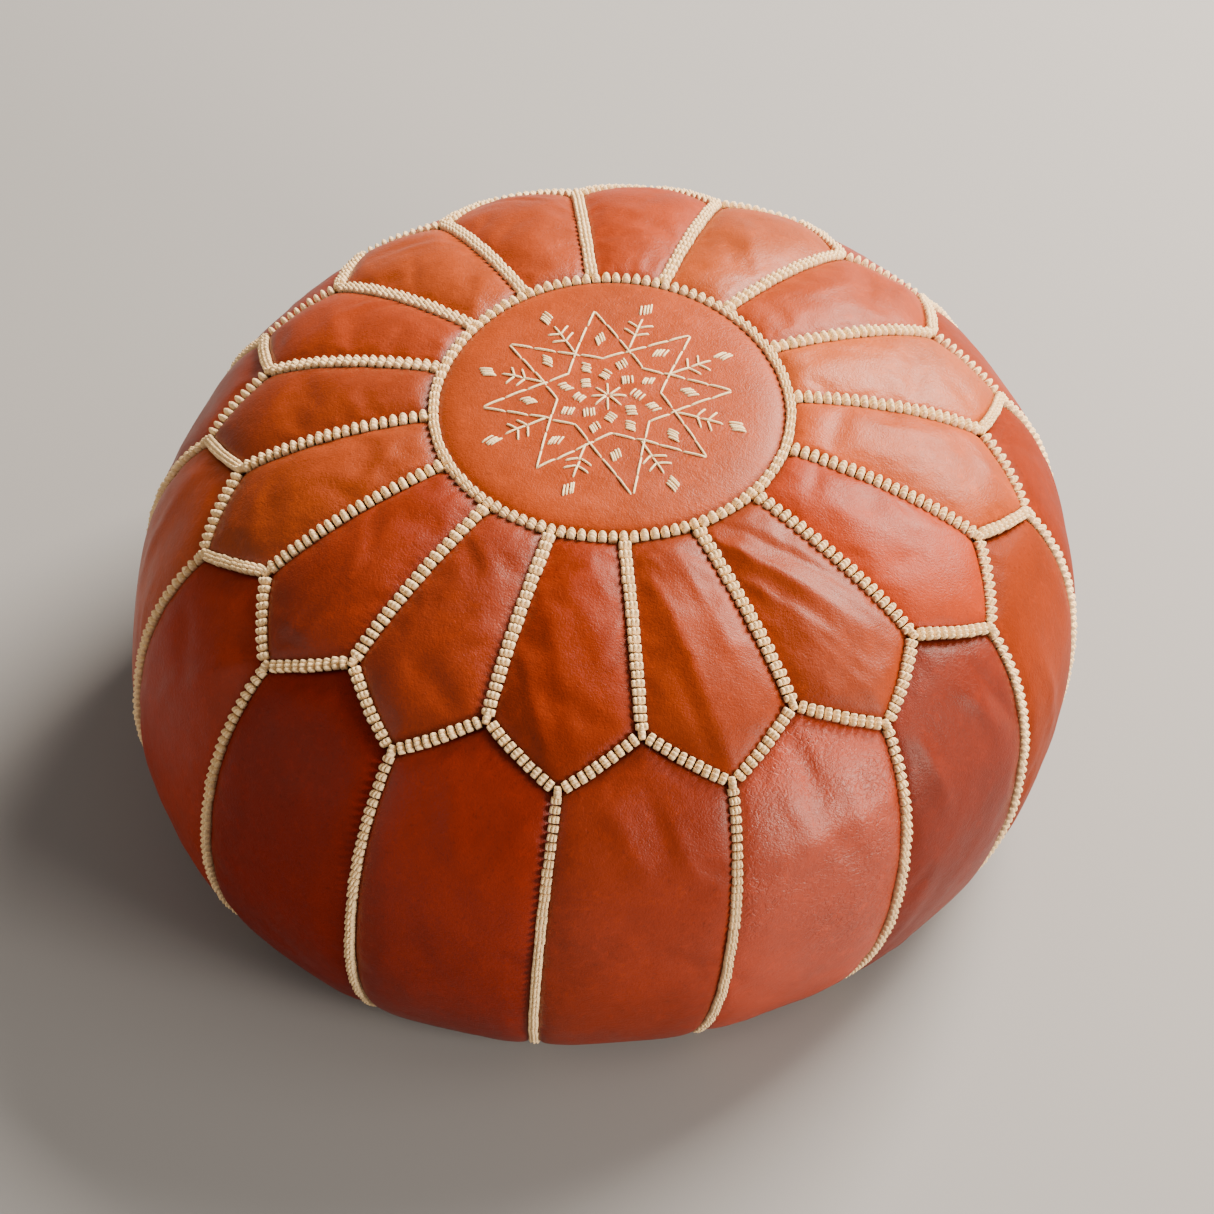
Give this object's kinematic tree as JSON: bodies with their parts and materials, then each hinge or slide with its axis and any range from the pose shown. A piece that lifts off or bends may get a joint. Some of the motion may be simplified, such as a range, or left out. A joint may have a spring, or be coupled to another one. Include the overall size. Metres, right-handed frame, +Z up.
{
  "type": "moroccan leather pouf",
  "caption": "Round stuffed leather pouf with radial top panels, curved side panels, cream braids over the seams, an embroidered centre and a zipped base.",
  "frame": {"origin": "on the floor, under the middle of the pouf", "axes": "+Z up; the zip under the base runs along X; the reference view looks along +Y from in front and above"},
  "size_m": [0.5386, 0.5386, 0.2707],
  "materials": {
    "medallion_leather": "satin cognac leather, smooth",
    "top_leather": "satin cognac leather, fine grain, tint varies from panel to panel",
    "side_leather": "satin red-brown leather, fine grain, tint varies from panel to panel",
    "base_leather": "matt cognac leather",
    "cream_braid": "cream knotted cord braid",
    "cream_thread": "cream embroidery thread",
    "zip_fabric": "woven brown zip tape with moulded teeth",
    "brass": "worn brass",
    "stuffing": "undyed cotton stuffing"
  },
  "bodies": {
    "root": {"medallion": "medallion_leather", "top_panel_01": "top_leather", "top_panel_02": "top_leather", "top_panel_03": "top_leather", "top_panel_04": "top_leather", "top_panel_05": "top_leather", "top_panel_06": "top_leather", "top_panel_07": "top_leather", "top_panel_08": "top_leather", "top_panel_09": "top_leather", "top_panel_10": "top_leather", "top_panel_11": "top_leather", "top_panel_12": "top_leather", "top_panel_13": "top_leather", "top_panel_14": "top_leather", "top_panel_15": "top_leather", "top_panel_16": "top_leather", "side_panel_01": "side_leather", "side_panel_02": "side_leather", "side_panel_03": "side_leather", "side_panel_04": "side_leather", "side_panel_05": "side_leather", "side_panel_06": "side_leather", "side_panel_07": "side_leather", "side_panel_08": "side_leather", "side_panel_09": "side_leather", "side_panel_10": "side_leather", "side_panel_11": "side_leather", "side_panel_12": "side_leather", "side_panel_13": "side_leather", "side_panel_14": "side_leather", "side_panel_15": "side_leather", "side_panel_16": "side_leather", "base_panel_back": "base_leather", "base_panel_front": "base_leather", "ring_braid": "cream_braid", "radial_braid_01": "cream_braid", "radial_braid_02": "cream_braid", "radial_braid_03": "cream_braid", "radial_braid_04": "cream_braid", "radial_braid_05": "cream_braid", "radial_braid_06": "cream_braid", "radial_braid_07": "cream_braid", "radial_braid_08": "cream_braid", "radial_braid_09": "cream_braid", "radial_braid_10": "cream_braid", "radial_braid_11": "cream_braid", "radial_braid_12": "cream_braid", "radial_braid_13": "cream_braid", "radial_braid_14": "cream_braid", "radial_braid_15": "cream_braid", "radial_braid_16": "cream_braid", "skirt_braid": "cream_braid", "base_braid": "cream_braid", "embroidered_star": "cream_thread", "filling": "stuffing", "zip_tape_back": "zip_fabric", "zip_tape_front": "zip_fabric"},
    "slider": {"zip_slider": "brass"},
    "pull": {"zip_pull": "brass"}
  },
  "joints": [
    {"name": "zip_slide", "type": "slide", "parent": "root", "child": "slider", "axis": [-1, 0, 0], "range_m": [0, 0.262]},
    {"name": "pull_swing", "type": "hinge", "parent": "slider", "child": "pull", "pos_m": [0.13, 0, 0.0023], "axis": [0, -1, 0], "range_deg": [0, 180]}
  ]
}
